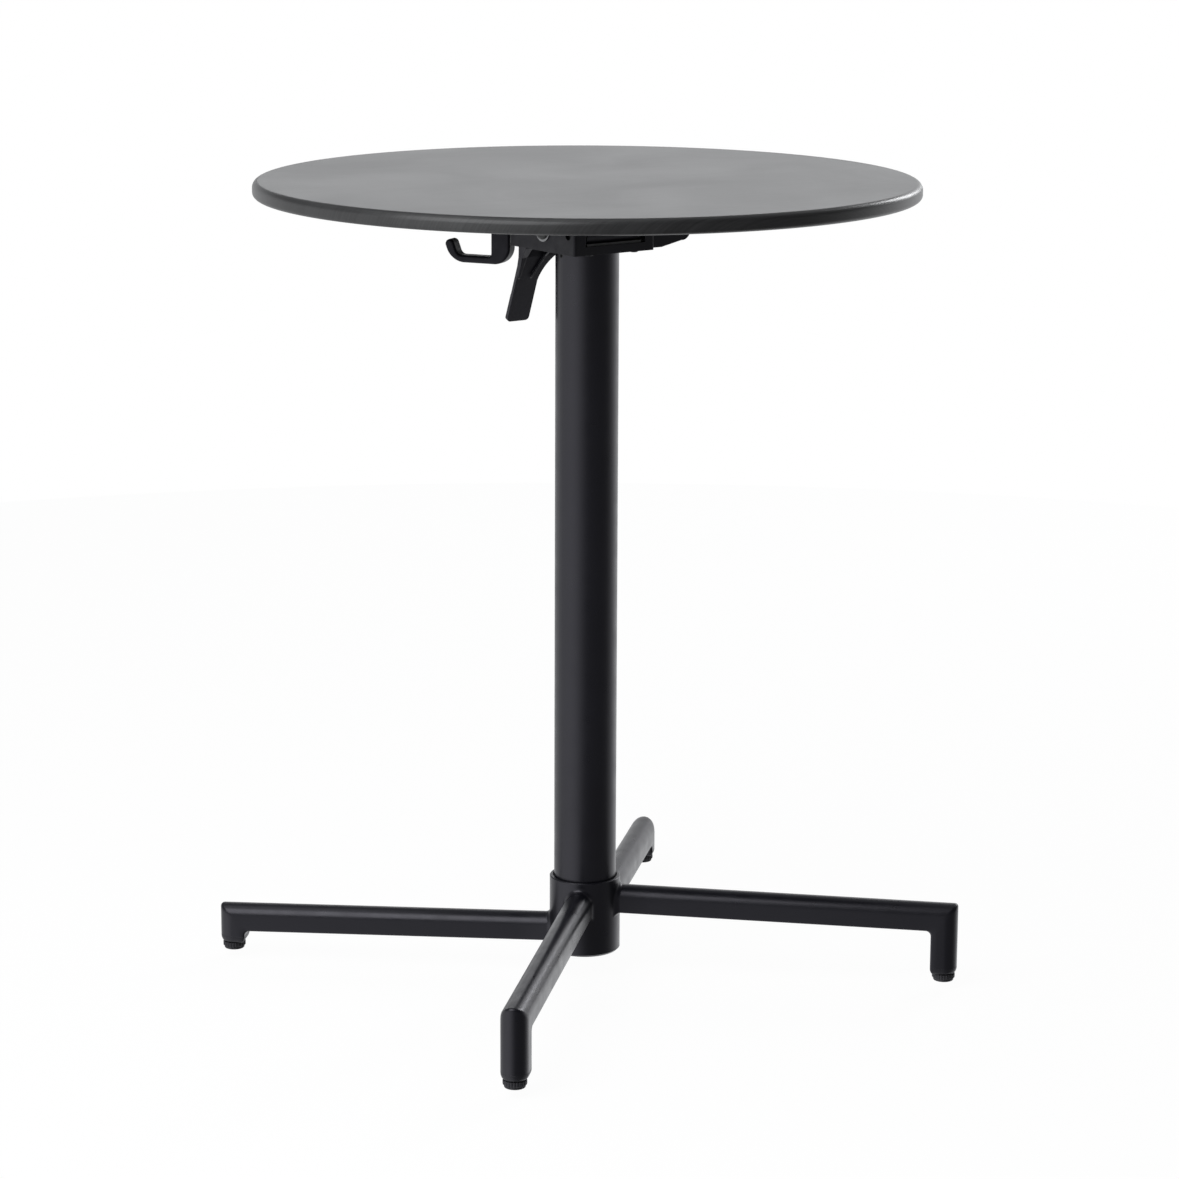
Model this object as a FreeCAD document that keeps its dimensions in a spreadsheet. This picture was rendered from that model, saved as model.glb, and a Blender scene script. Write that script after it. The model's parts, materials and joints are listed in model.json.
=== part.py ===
import FreeCAD, Part
import math
import os
from types import SimpleNamespace

import Sketcher

# Folding cafe table: a round top that tips up about a cross pin, on a column with four legs at two
# levels, so that one table nests into the next. Millimetres, +Z up, origin on the floor under the
# column, +X along the fold pin, -Y towards the side that the top folds down on.

DOC = FreeCAD.newDocument("folding_cafe_table")
SHEET = DOC.addObject("Spreadsheet::Sheet", "Sizes")
VECTOR = FreeCAD.Vector
PIECES = []

DIMENSIONS = {
    # round top
    "top_radius": 300.0,
    "top_height": 738.0,
    "top_thickness": 14.0,
    "top_upper_round": 6.0,
    "top_lower_round": 4.0,
    # column and its sleeve
    "column_radius": 28.8,
    "column_wall": 2.0,
    "hub_radius": 32.9,
    "hub_bottom": 16.0,
    "hub_top": 87.5,
    "hub_seat": 36.0,
    "hub_web": 8.0,
    "hub_recess_radius": 24.0,
    "hub_lip_gap": 1.2,
    "hub_lip_depth": 2.5,
    "hub_edge_round": 2.0,
    # legs: an arched tube, mitred down into a post
    "leg_width": 25.0,
    "leg_section": 24.6,
    "leg_wall": 2.0,
    "leg_start": 20.0,
    "leg_slope": 0.9,
    "foot_radius": 336.4,
    "high_leg_base": 54.4,
    "low_leg_base": 24.5,
    "leg_spread": 46.3,
    "leg_inner_round": 5.0,
    "post_bottom": 14.0,
    "cap_bottom": 7.4,
    "cap_round": 6.0,
    "cap_plug_length": 12.0,
    # levelling glides
    "glide_radius": 10.6,
    "glide_thickness": 7.1,
    "glide_pad_radius": 9.4,
    "glide_pad_thickness": 2.4,
    "glide_flutes": 24.0,
    "glide_flute_radius": 0.55,
    "stud_radius": 4.0,
    "stud_length": 34.0,
    "stud_clearance": 0.08,
    # base fixing
    "base_bolt_radius": 5.0,
    "base_bolt_head_radius": 8.0,
    "base_bolt_head_height": 8.0,
    "base_washer_radius": 12.0,
    "base_washer_thickness": 1.6,
    "column_plug_length": 14.0,
    "base_cap_thickness": 2.0,
    # head on the column
    "head_half_width": 44.5,
    "head_front": 41.5,
    "head_rear": 58.0,
    "head_bottom": 675.25,
    "head_height": 36.0,
    "head_wall": 3.5,
    "head_floor": 4.3,
    "head_corner": 2.5,
    "spigot_radius": 26.7,
    "spigot_length": 36.0,
    "spigot_bore": 21.0,
    "notch_left": 32.0,
    "notch_right": 34.0,
    "notch_bottom": 683.0,
    "notch_depth": 14.0,
    "lip_depth": 9.0,
    "set_screw_height": 670.6,
    "set_screw_radius": 2.0,
    "set_screw_length": 7.0,
    "set_screw_socket": 2.0,
    # fold joint
    "fold_y": -32.0,
    "fold_z": 693.0,
    "fold_pin_radius": 4.0,
    "fold_pin_half": 41.6,
    "knuckle_radius": 9.0,
    "knuckle_half": 30.0,
    "bush_radius": 6.0,
    "bush_length": 14.0,
    "bush_flange": 1.4,
    "bush_flange_radius": 8.0,
    "running_gap": 0.05,
    # tilt bracket under the top
    "plate_thickness": 4.0,
    "plate_half_width": 52.0,
    "plate_front": 46.0,
    "plate_rear": 54.0,
    "arm_reach": 92.0,
    "arm_width": 17.0,
    "arm_front_y": -30.0,
    "arm_rear_y": 44.0,
    "knuckle_web": 11.0,
    "stop_web_width": 14.0,
    "stop_web_bottom": 676.4,
    "stop_web_rise": 4.6,
    "stop_web_round": 9.0,
    "side_rib_drop": 6.0,
    "side_rib_width": 4.0,
    "screw_radius": 2.5,
    "screw_head_radius": 4.6,
    "screw_head_height": 2.7,
    "screw_length": 13.0,
    "insert_radius": 4.0,
    "insert_length": 10.0,
    "insert_depth": 11.0,
    # rest bar that the bracket closes onto
    "rest_y": 6.0,
    "rest_z": 694.6,
    "rest_bar_radius": 5.0,
    "rest_sleeve_radius": 7.5,
    "rest_sleeve_length": 30.0,
    "rest_gap": 0.2,
    "rest_web_width": 12.0,
    "side_washer_radius": 10.6,
    "side_washer_thickness": 1.2,
    "side_bolt_radius": 3.0,
    "side_bolt_head_radius": 8.6,
    "side_bolt_head_height": 3.6,
    "side_bolt_socket": 2.0,
    # latch
    "lever_y": 44.0,
    "lever_z": 690.0,
    "lever_pin_radius": 3.0,
    "lever_barrel_radius": 6.5,
    "lever_left": 40.0,
    "lever_paddle_left": 37.5,
    "lever_paddle_width": 24.0,
    "lever_thickness": 3.6,
    "lever_shoulder": 16.0,
    "lever_tip_z": 602.6,
    "lever_face_y": 49.9,
    "lever_face_z": 664.0,
    "lever_lean": 0.375,
    "lever_neck_z": 641.0,
    "lever_neck_radius": 26.0,
    "lever_corner": 3.6,
    "lever_flange": 6.5,
    "lever_flange_depth": 10.0,
    "lever_rib_room": 16.0,
    "pawl_width": 10.0,
    "pawl_ring_radius": 10.0,
    "pawl_height": 21.0,
    "pawl_nose": 5.5,
    "keeper_y": 28.0,
    "keeper_z": 703.0,
    "keeper_radius": 3.0,
    "keeper_half": 16.0,
    "keeper_lug": 5.0,
    "keeper_gap": 0.45,
    "spring_wire": 0.7,
    "spring_radius": 8.6,
    "spring_turns": 4.0,
    "spring_pitch": 1.7,
    "spring_start": 21.0,
    # knuckle friction pad and its screws
    "pad_thickness": 2.2,
    "pad_screw_x": 25.0,
    "pad_screw_y": -36.5,
    "pad_screw_radius": 2.0,
    "pad_screw_head_radius": 3.8,
    "pad_screw_head_height": 1.2,
    # bag hook
    "hook_angle": 120.0,
    "hook_width": 14.0,
    "hook_stem_inner": 74.4,
    "hook_stem_outer": 93.2,
    "hook_bottom": 656.2,
    "hook_bar": 6.8,
    "hook_bar_end": 121.0,
    "hook_tip": 139.5,
    "hook_tip_top": 677.0,
    "hook_heel_radius": 16.0,
    "hook_toe_radius": 19.0,
    "hook_knob_radius": 4.6,
    "hook_cradle": 6.0,
    "hook_crook_radius": 3.0,
    "hook_flange_start": 76.0,
    "hook_flange_end": 127.0,
    "hook_flange_width": 26.0,
    "hook_flange_thickness": 4.0,
    "hook_flange_corner": 5.0,
    "hook_edge_round": 2.4,
    "keeper_ear": 6.0,
    "keeper_room": 8.0,
    "through": 200.0,
}


class Size:
    """A length with its value and the sheet formula that gives it."""

    def __init__(self, value, formula):
        self.value = float(value)
        self.formula = formula

    @staticmethod
    def of(other):
        return other if isinstance(other, Size) else Size(other, repr(float(other)))

    def __add__(self, other):
        other = Size.of(other)
        return Size(self.value + other.value, "(%s + %s)" % (self.formula, other.formula))

    def __sub__(self, other):
        other = Size.of(other)
        return Size(self.value - other.value, "(%s - %s)" % (self.formula, other.formula))

    def __mul__(self, other):
        other = Size.of(other)
        return Size(self.value * other.value, "(%s * %s)" % (self.formula, other.formula))

    def __truediv__(self, other):
        other = Size.of(other)
        return Size(self.value / other.value, "(%s / %s)" % (self.formula, other.formula))

    def __neg__(self):
        return Size(-self.value, "(0 - %s)" % self.formula)


def fill_sheet():
    """Write every driving dimension into its own aliased cell."""
    for row, (name, value) in enumerate(DIMENSIONS.items(), start=1):
        SHEET.set("A%d" % row, name)
        SHEET.set("B%d" % row, str(value))
        SHEET.setAlias("B%d" % row, name)
    DOC.recompute()


S = SimpleNamespace(**{name: Size(value, "Sizes." + name) for name, value in DIMENSIONS.items()})


# ---------------------------------------------------------------- building blocks

def bind(item, **formulas):
    """Tie properties of a document object to sheet formulas; a double underscore is a dot."""
    for name, size in formulas.items():
        path = name.replace("__", ".")
        item.setExpression(path, Size.of(size).formula)


def place(item, x=0, y=0, z=0):
    bind(item, Placement__Base__x=x, Placement__Base__y=y, Placement__Base__z=z)


def keep(item, name):
    """Register a finished sub-part under the name of its file."""
    item.Label = name
    PIECES.append(item)
    return item


def new_body(name):
    body = DOC.addObject("PartDesign::Body", "Body_" + name)
    return keep(body, name)


def new_sketch(body, plane, name, offset=None):
    """A sketch on one of the body's own origin planes, lifted along its normal by offset."""
    sketch = body.newObject("Sketcher::SketchObject", name)
    support = [item for item in body.Origin.OriginFeatures if item.Role == plane][0]
    sketch.AttachmentSupport = [(support, "")]
    sketch.MapMode = "FlatFace"
    if offset is not None:
        sketch.setExpression("AttachmentOffset.Base.z", Size.of(offset).formula)
        lifted = VECTOR(0, 0, Size.of(offset).value)
        sketch.AttachmentOffset = FreeCAD.Placement(lifted, FreeCAD.Rotation())
    return sketch


def add_dimension(sketch, constraint, size, label):
    index = sketch.addConstraint(constraint)
    sketch.renameConstraint(index, label)
    sketch.setExpression("Constraints." + label, size.formula)


def pin_point(sketch, edge, end, x, y, label):
    """Hold one end of an edge at a place given by two sizes."""
    for value, kind, axis, suffix in ((x, "DistanceX", -2, "_x"), (y, "DistanceY", -1, "_y")):
        if not isinstance(value, Size) and value == 0:
            sketch.addConstraint(Sketcher.Constraint("PointOnObject", edge, end, axis))
            continue
        size = Size.of(value)
        constraint = Sketcher.Constraint(kind, -1, 1, edge, end, size.value)
        add_dimension(sketch, constraint, size, label + suffix)


def arc_between(start, end, radius, turn):
    """An arc of under half a circle; turn is 1 for counter-clockwise and -1 for clockwise."""
    chord = end - start
    middle = (start + end) * 0.5
    rise = math.sqrt(max(radius ** 2 - (chord.Length / 2) ** 2, 0.0))
    normal = VECTOR(-chord.y, chord.x, 0).normalize()
    centre = middle + normal * rise * turn
    first, last = (start, end) if turn > 0 else (end, start)
    from_angle = math.atan2(first.y - centre.y, first.x - centre.x)
    to_angle = math.atan2(last.y - centre.y, last.x - centre.x)
    return Part.ArcOfCircle(Part.Circle(centre, VECTOR(0, 0, 1), radius), from_angle, to_angle)


def outline(sketch, corners, closed=True, label="corner"):
    """Draw lines and arcs through corners: (x, y), or (x, y, radius, turn) where an arc leaves."""
    points = [VECTOR(Size.of(c[0]).value, Size.of(c[1]).value, 0) for c in corners]
    count = len(corners) if closed else len(corners) - 1
    ends = []
    for index in range(count):
        start = points[index]
        end = points[(index + 1) % len(points)]
        if len(corners[index]) == 2:
            edge = sketch.addGeometry(Part.LineSegment(start, end), False)
            ends.append((edge, 1, 2))
            continue
        radius, turn = Size.of(corners[index][2]), corners[index][3]
        edge = sketch.addGeometry(arc_between(start, end, radius.value, turn), False)
        ends.append((edge, 1, 2) if turn > 0 else (edge, 2, 1))
        constraint = Sketcher.Constraint("Radius", edge, radius.value)
        add_dimension(sketch, constraint, radius, "%s%d_radius" % (label, index))
    for index in range(count):
        edge, start, end = ends[index]
        pin_point(sketch, edge, start, corners[index][0], corners[index][1], "%s%d" % (label, index))
        if index + 1 < count or closed:
            following, following_start, _ = ends[(index + 1) % count]
            sketch.addConstraint(
                Sketcher.Constraint("Coincident", edge, end, following, following_start))
    if not closed:
        edge, _, end = ends[-1]
        pin_point(sketch, edge, end, corners[-1][0], corners[-1][1], label + "_last")
    return sketch


def ring(sketch, x, y, radius, label="ring"):
    """Draw a circle whose centre and radius are sizes."""
    centre = VECTOR(Size.of(x).value, Size.of(y).value, 0)
    radius = Size.of(radius)
    edge = sketch.addGeometry(Part.Circle(centre, VECTOR(0, 0, 1), radius.value), False)
    add_dimension(sketch, Sketcher.Constraint("Radius", edge, radius.value), radius, label + "_radius")
    pin_point(sketch, edge, 3, x, y, label)
    return sketch


def block(sketch, x_low, x_high, y_low, y_high, label="corner"):
    corners = [(x_low, y_low), (x_high, y_low), (x_high, y_high), (x_low, y_high)]
    return outline(sketch, corners, label=label)


def extrude(body, kind, sketch, length=None, symmetric=False, reverse=False):
    """Pad or pocket a sketch; with no length it runs through everything."""
    feature = body.newObject("PartDesign::" + kind, kind + "_" + sketch.Name)
    feature.Profile = sketch
    sketch.Visibility = False
    if length is None:
        feature.Type = "ThroughAll"
    else:
        bind(feature, Length=length)
    if symmetric:
        feature.SideType = "Symmetric"
    feature.Reversed = reverse
    return feature


def revolve(body, kind, sketch):
    """Turn a sketch on the XZ plane once round the body's vertical axis."""
    feature = body.newObject("PartDesign::" + kind, kind + "_" + sketch.Name)
    feature.Profile = sketch
    feature.ReferenceAxis = (sketch, ["V_Axis"])
    feature.Angle = 360
    return feature


def round_edges(body, radius, chosen, kind="Fillet"):
    """Fillet or chamfer the edges of the body's tip that chosen() accepts."""
    DOC.recompute()
    base = body.Tip
    names = ["Edge%d" % (i + 1) for i, edge in enumerate(base.Shape.Edges) if chosen(edge)]
    feature = body.newObject("PartDesign::" + kind, kind + "_edges")
    feature.Base = (base, names)
    bind(feature, **{"Radius" if kind == "Fillet" else "Size": radius})
    return feature


def cylinder(name, radius, length, axis="Z", x=0, y=0, z=0):
    """A round bar from (x, y, z) along +X, +Y or +Z."""
    bar = DOC.addObject("Part::Cylinder", name)
    bind(bar, Radius=radius, Height=length)
    turns = {"X": FreeCAD.Rotation(VECTOR(0, 1, 0), 90), "Y": FreeCAD.Rotation(VECTOR(1, 0, 0), -90),
             "Z": FreeCAD.Rotation()}
    bar.Placement = FreeCAD.Placement(VECTOR(0, 0, 0), turns[axis])
    place(bar, x, y, z)
    return bar


def fuse(name, parts):
    item = DOC.addObject("Part::MultiFuse", name)
    item.Shapes = parts
    item.Refine = True
    return item


def cut(name, base, tool):
    item = DOC.addObject("Part::Cut", name)
    item.Base = base
    item.Tool = tool
    return item


def group(name, solids):
    """Separate solids of one kind, kept together as one sub-part."""
    item = DOC.addObject("Part::Compound", "Group_" + name)
    item.Links = solids
    return keep(item, name)


def is_along(edge, direction):
    """True for a straight edge parallel to direction."""
    if not isinstance(edge.Curve, Part.Line):
        return False
    return abs(edge.Curve.Direction.dot(direction)) > 0.999


def mirrored_pair(build):
    """Call build(side) for the -X and the +X side."""
    return [build(side) for side in (-1, 1)]


# ---------------------------------------------------------------- shared places

TOP_UNDERSIDE = S.top_height - S.top_thickness
PLATE_BOTTOM = TOP_UNDERSIDE - S.plate_thickness
HEAD_TOP = S.head_bottom + S.head_height
FLOOR_TOP = S.head_bottom + S.head_floor
BRACKET_SCREWS = (
    (S.arm_reach - 10, S.arm_front_y), (S.plate_half_width - 12, S.plate_front * -1 + 8),
    (S.arm_reach - 10, S.arm_rear_y),
)
HOOK_SCREWS = (S.hook_stem_outer + 8, S.hook_flange_end - 8)


def bracket_screw_places():
    """The bracket's screw centres: each listed one and its twin across the YZ plane."""
    return [(x * side, y) for side in (-1, 1) for x, y in BRACKET_SCREWS]


def hook_screw_places():
    """The hook's screw centres, worked out along its own line under the top."""
    turn = math.radians(DIMENSIONS["hook_angle"])
    return [(reach * math.cos(turn), reach * math.sin(turn)) for reach in HOOK_SCREWS]


# ---------------------------------------------------------------- top

def tabletop():
    body = new_body("tabletop")
    low = TOP_UNDERSIDE
    high = S.top_height
    radius = S.top_radius
    section = new_sketch(body, "XZ_Plane", "top_section")
    outline(section, [
        (0, low),
        (radius - S.top_lower_round, low, S.top_lower_round, 1),
        (radius, low + S.top_lower_round),
        (radius, high - S.top_upper_round, S.top_upper_round, 1),
        (radius - S.top_upper_round, high),
        (0, high),
    ])
    revolve(body, "Revolution", section)
    sockets = new_sketch(body, "XY_Plane", "insert_sockets", low)
    for index, (x, y) in enumerate(bracket_screw_places() + hook_screw_places()):
        ring(sockets, x, y, S.insert_radius, "socket%d" % index)
    extrude(body, "Pocket", sockets, S.insert_depth, reverse=True)


def threaded_inserts():
    solids = []
    for index, (x, y) in enumerate(bracket_screw_places() + hook_screw_places()):
        shell = cylinder("insert_shell%d" % index, S.insert_radius - 0.02, S.insert_length,
                         x=x, y=y, z=TOP_UNDERSIDE)
        bore = cylinder("insert_bore%d" % index, S.screw_radius + 0.02, S.insert_length + 2,
                        x=x, y=y, z=TOP_UNDERSIDE - 1)
        solids.append(cut("insert%d" % index, shell, bore))
    group("threaded_inserts", solids)


def pan_screw(name, x, y, seat, shank, head_radius, head_height, length):
    """A pan-head screw driven upwards, its head under the level called seat, with a cross socket."""
    body = DOC.addObject("PartDesign::Body", "Body_" + name)
    section = new_sketch(body, "XZ_Plane", name + "_section")
    outline(section, [
        (0, -head_height), (head_radius * 0.62, -head_height, head_height * 1.25, 1),
        (head_radius, -(head_height * 0.3)), (head_radius, 0), (shank, 0),
        (shank, length - 1), (shank - 1, length), (0, length),
    ])
    revolve(body, "Revolution", section)
    socket = new_sketch(body, "XY_Plane", name + "_socket", -head_height)
    arm = shank * 0.75
    half = shank * 0.18
    outline(socket, [
        (half, half), (half, arm), (-half, arm), (-half, half), (-arm, half), (-arm, -half),
        (-half, -half), (-half, -arm), (half, -arm), (half, -half), (arm, -half), (arm, half),
    ])
    extrude(body, "Pocket", socket, head_height * 0.55, reverse=True)
    place(body, x, y, seat)
    return body


def bracket_screws():
    solids = [pan_screw("bracket_screw%d" % i, x, y, PLATE_BOTTOM, S.screw_radius, S.screw_head_radius,
                        S.screw_head_height, S.screw_length)
              for i, (x, y) in enumerate(bracket_screw_places())]
    group("bracket_screws", solids)


def hook_screws():
    seat = TOP_UNDERSIDE - S.hook_flange_thickness
    solids = [pan_screw("hook_screw%d" % i, x, y, seat, S.screw_radius, S.screw_head_radius,
                        S.screw_head_height, S.screw_length)
              for i, (x, y) in enumerate(hook_screw_places())]
    group("hook_screws", solids)


# ---------------------------------------------------------------- tilt bracket

def tilt_bracket():
    """Cast plate with four arms, a knuckle on the fold pin, a stop web and two keeper lugs."""
    body = new_body("tilt_bracket")
    spider = new_sketch(body, "XY_Plane", "spider", PLATE_BOTTOM)
    half = S.plate_half_width
    reach = S.arm_reach
    wide = S.arm_width / 2
    outline(spider, [
        (-half, -S.plate_front), (half, -S.plate_front), (half, S.arm_front_y - wide),
        (reach - wide, S.arm_front_y - wide, wide, 1), (reach, S.arm_front_y, wide, 1),
        (reach - wide, S.arm_front_y + wide),
        (half, S.arm_front_y + wide), (half - 12, -8), (half - 12, S.arm_rear_y - wide - 16),
        (half, S.arm_rear_y - wide), (reach - wide, S.arm_rear_y - wide, wide, 1),
        (reach, S.arm_rear_y, wide, 1), (reach - wide, S.arm_rear_y + wide),
        (half, S.plate_rear), (-half, S.plate_rear),
        (-reach + wide, S.arm_rear_y + wide, wide, 1), (-reach, S.arm_rear_y, wide, 1),
        (-reach + wide, S.arm_rear_y - wide), (-half, S.arm_rear_y - wide),
        (-half + 12, S.arm_rear_y - wide - 16), (-half + 12, -8), (-half, S.arm_front_y + wide),
        (-reach + wide, S.arm_front_y + wide, wide, 1), (-reach, S.arm_front_y, wide, 1),
        (-reach + wide, S.arm_front_y - wide), (-half, S.arm_front_y - wide),
    ])
    extrude(body, "Pad", spider, S.plate_thickness)
    DOC.recompute()

    barrel = new_sketch(body, "YZ_Plane", "knuckle")
    side = S.knuckle_web / 2
    outline(barrel, [
        (S.fold_y - side, PLATE_BOTTOM + 1), (S.fold_y - side, S.fold_z),
        (S.fold_y + side, S.fold_z), (S.fold_y + side, PLATE_BOTTOM + 1),
    ], label="web")
    extrude(body, "Pad", barrel, S.knuckle_half * 2, symmetric=True)
    eye = new_sketch(body, "YZ_Plane", "knuckle_eye")
    ring(eye, S.fold_y, S.fold_z, S.knuckle_radius)
    extrude(body, "Pad", eye, S.knuckle_half * 2, symmetric=True)

    rest = new_sketch(body, "YZ_Plane", "rest_web")
    top_of_sleeve = S.rest_z + S.rest_sleeve_radius + S.rest_gap
    block(rest, S.rest_y - S.rest_web_width / 2, S.rest_y + S.rest_web_width / 2,
          top_of_sleeve, PLATE_BOTTOM + 1)
    extrude(body, "Pad", rest, S.knuckle_half * 2, symmetric=True)

    lugs = new_sketch(body, "YZ_Plane", "keeper_lugs")
    ear = S.keeper_ear
    outline(lugs, [
        (S.keeper_y - ear, PLATE_BOTTOM + 1), (S.keeper_y - ear, S.keeper_z, S.keeper_lug + 1, 1),
        (S.keeper_y, S.keeper_z - ear, S.keeper_lug + 1, 1), (S.keeper_y + ear, S.keeper_z),
        (S.keeper_y + ear, PLATE_BOTTOM + 1),
    ])
    extrude(body, "Pad", lugs, S.keeper_half * 2, symmetric=True)

    gap = new_sketch(body, "XY_Plane", "lug_gap", PLATE_BOTTOM)
    inner = S.keeper_half - S.keeper_lug
    block(gap, -inner, inner, S.keeper_y - S.keeper_room, S.keeper_y + S.keeper_room)
    extrude(body, "Pocket", gap, S.through)

    web = new_sketch(body, "XZ_Plane", "stop_web", -S.arm_front_y)
    root = S.head_half_width + 1.5
    end = S.arm_reach - 3.5
    outline(web, [
        (root, PLATE_BOTTOM + 1), (root, S.stop_web_bottom), (root + 10, S.stop_web_bottom),
        (end - 10, S.stop_web_bottom + S.stop_web_rise, S.stop_web_round, 1),
        (end, S.stop_web_bottom + S.stop_web_rise + 8), (end, PLATE_BOTTOM + 1),
    ])
    extrude(body, "Pad", web, S.stop_web_width, symmetric=True)

    small = new_sketch(body, "XZ_Plane", "small_web", -S.arm_front_y)
    outline(small, [
        (-root, PLATE_BOTTOM + 1), (-end + 4, PLATE_BOTTOM + 1), (-root, PLATE_BOTTOM - 16),
    ])
    extrude(body, "Pad", small, S.stop_web_width, symmetric=True)

    ribs = new_sketch(body, "XZ_Plane", "rear_ribs", -S.arm_rear_y)
    for sign, label in ((-1, "left"), (1, "right")):
        outline(ribs, [
            ((half - 14) * sign, PLATE_BOTTOM + 1), ((reach - 20) * sign, PLATE_BOTTOM + 1),
            ((half - 2) * sign, PLATE_BOTTOM - S.side_rib_drop),
            ((half - 14) * sign, PLATE_BOTTOM - S.side_rib_drop),
        ], label=label)
    extrude(body, "Pad", ribs, S.side_rib_width, symmetric=True)

    bore = new_sketch(body, "YZ_Plane", "knuckle_bore")
    ring(bore, S.fold_y, S.fold_z, S.bush_radius)
    extrude(body, "Pocket", bore, S.knuckle_half * 2 + 1, symmetric=True)
    keeper = new_sketch(body, "YZ_Plane", "keeper_bore")
    ring(keeper, S.keeper_y, S.keeper_z, S.keeper_radius)
    extrude(body, "Pocket", keeper, S.keeper_half * 2 + 1, symmetric=True)

    holes = new_sketch(body, "XY_Plane", "screw_holes", PLATE_BOTTOM)
    for index, (x, y) in enumerate(bracket_screw_places()):
        ring(holes, x, y, S.screw_radius + 0.25, "hole%d" % index)
    extrude(body, "Pocket", holes, S.plate_thickness, reverse=True)
    seats = new_sketch(body, "XY_Plane", "screw_seats", PLATE_BOTTOM)
    for index, (x, y) in enumerate(bracket_screw_places()):
        ring(seats, x, y, S.screw_head_radius + 0.6, "seat%d" % index)
    extrude(body, "Pocket", seats, S.through)
    return body


def fold_bushes():
    """Flanged plain bushes pressed into the ends of the knuckle."""
    def build(side):
        start = S.knuckle_half * side if side > 0 else -S.knuckle_half - S.bush_flange
        sleeve_start = S.knuckle_half - S.bush_length if side > 0 else -S.knuckle_half
        name = "fold_bush_%s" % ("right" if side > 0 else "left")
        flange = cylinder(name + "_flange", S.bush_flange_radius, S.bush_flange, "X",
                          start, S.fold_y, S.fold_z)
        sleeve = cylinder(name + "_sleeve", S.bush_radius, S.bush_length, "X",
                          sleeve_start, S.fold_y, S.fold_z)
        bore = cylinder(name + "_bore", S.fold_pin_radius + S.running_gap, S.knuckle_half * 4, "X",
                        S.knuckle_half * -2, S.fold_y, S.fold_z)
        return cut(name, fuse(name + "_blank", [flange, sleeve]), bore)
    group("fold_bushes", mirrored_pair(build))


def keeper_pin():
    bar = cylinder("keeper_pin_bar", S.keeper_radius, S.keeper_half * 2, "X",
                   -S.keeper_half, S.keeper_y, S.keeper_z)
    keep(bar, "keeper_pin")


# ---------------------------------------------------------------- bag hook

def bag_hook():
    """Moulded hook: a stem under the top, a bar and an upturned tip, on a screwed flange."""
    body = new_body("bag_hook")
    shape = new_sketch(body, "XZ_Plane", "hook_outline")
    low = S.hook_bottom
    bar_top = S.hook_bottom + S.hook_bar
    knob = S.hook_knob_radius
    crook = S.hook_crook_radius
    outline(shape, [
        (S.hook_stem_inner, TOP_UNDERSIDE - 1),
        (S.hook_stem_inner, low + S.hook_heel_radius, S.hook_heel_radius, 1),
        (S.hook_stem_inner + S.hook_heel_radius, low),
        (S.hook_bar_end, low, S.hook_toe_radius, 1),
        (S.hook_tip - 1.2, low + 12.5), (S.hook_tip, S.hook_tip_top - 5, knob, 1),
        (S.hook_tip - knob, S.hook_tip_top, knob, 1), (S.hook_tip - 8.8, S.hook_tip_top - 3.5),
        (S.hook_tip - 11, bar_top + 4.5, S.hook_cradle, -1), (S.hook_tip - 16, bar_top),
        (S.hook_stem_outer + crook, bar_top, crook, -1), (S.hook_stem_outer, bar_top + crook),
        (S.hook_stem_outer, TOP_UNDERSIDE - 1),
    ])
    extrude(body, "Pad", shape, S.hook_width, symmetric=True)
    neck = TOP_UNDERSIDE.value - 0.5
    round_edges(body, S.hook_edge_round, lambda edge: abs(edge.BoundBox.YLength) < 0.01
                and edge.BoundBox.ZMax < neck)
    DOC.recompute()
    flange = new_sketch(body, "XY_Plane", "hook_flange", TOP_UNDERSIDE - S.hook_flange_thickness)
    block(flange, S.hook_flange_start, S.hook_flange_end,
          -(S.hook_flange_width / 2), S.hook_flange_width / 2)
    extrude(body, "Pad", flange, S.hook_flange_thickness)
    side = DIMENSIONS["hook_flange_width"] / 2
    round_edges(body, S.hook_flange_corner, lambda edge: is_along(edge, VECTOR(0, 0, 1))
                and abs(edge.BoundBox.ZLength - DIMENSIONS["hook_flange_thickness"]) < 0.1
                and abs(abs(edge.BoundBox.YMax) - side) < 0.1)
    holes = new_sketch(body, "XY_Plane", "hook_holes", TOP_UNDERSIDE)
    for index, reach in enumerate(HOOK_SCREWS):
        ring(holes, reach, 0, S.screw_radius + 0.25, "hole%d" % index)
    extrude(body, "Pocket", holes, S.hook_flange_thickness)
    body.Placement = FreeCAD.Placement(VECTOR(0, 0, 0), FreeCAD.Rotation(VECTOR(0, 0, 1), 1))
    bind(body, Placement__Rotation__Angle=S.hook_angle)


# ---------------------------------------------------------------- head

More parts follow.
